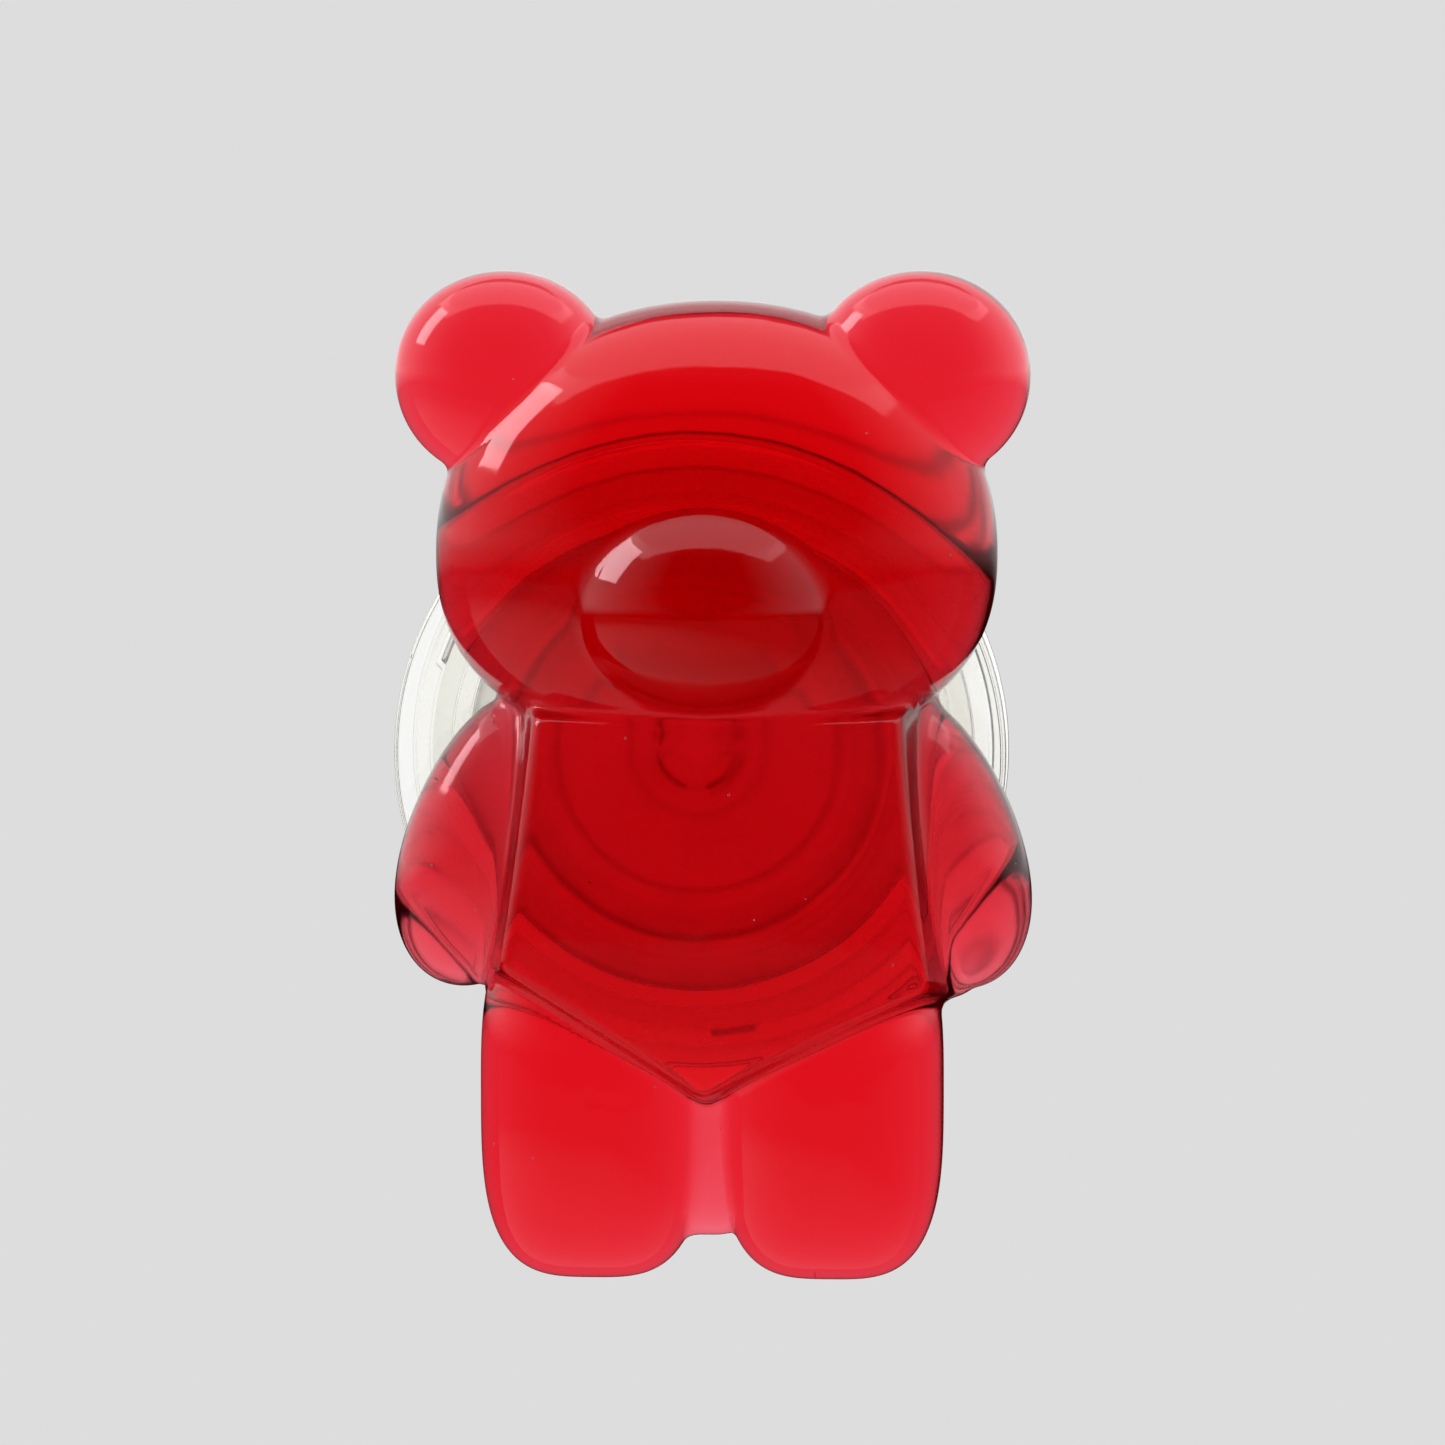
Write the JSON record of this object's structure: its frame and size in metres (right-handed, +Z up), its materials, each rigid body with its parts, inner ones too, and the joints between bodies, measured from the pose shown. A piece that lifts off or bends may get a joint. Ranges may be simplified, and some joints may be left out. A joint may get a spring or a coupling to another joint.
{
  "type": "collapsible phone grip",
  "caption": "Round collapsible phone grip that sticks to a flat back, pulls out in stages and swivels, with a translucent cast bear on its front plate.",
  "frame": {"origin": "centre of the adhesive pad's rear face, on the grip's axis", "axes": "+Z up through the bear's head, +Y out of the rear adhesive face towards the phone, so the bear faces -Y, +X to the right as seen from the front"},
  "size_m": [0.0418, 0.022, 0.0655],
  "materials": {
    "red_resin": "glossy translucent cast resin",
    "clear_plastic": "clear polished moulding",
    "soft_bellows": "translucent soft moulding",
    "adhesive_gel": "translucent tacky gel",
    "glue": "clear glue"
  },
  "bodies": {
    "base": {"adhesive_pad": "adhesive_gel", "base_plate": "clear_plastic", "clamp_ring": "clear_plastic", "bellows_outer_ring": "soft_bellows", "bellows_outer_web": "soft_bellows"},
    "middle": {"bellows_middle_ring": "soft_bellows", "bellows_inner_web": "soft_bellows"},
    "collar": {"bellows_collar": "soft_bellows", "socket_disc": "clear_plastic"},
    "button": {"top_plate": "clear_plastic", "glue_disc": "glue", "bear": "red_resin"}
  },
  "joints": [
    {"name": "outer_stage", "type": "slide", "parent": "base", "child": "middle", "axis": [0, -1, 0], "range_m": [0, 0.0072], "deforming": ["bellows_outer_web"]},
    {"name": "inner_stage", "type": "slide", "parent": "middle", "child": "collar", "axis": [0, -1, 0], "range_m": [0, 0.0072], "deforming": ["bellows_inner_web"]},
    {"name": "swivel", "type": "hinge", "parent": "collar", "child": "button", "pos_m": [0, 0, 0], "axis": [0, -1, 0], "continuous": true}
  ]
}
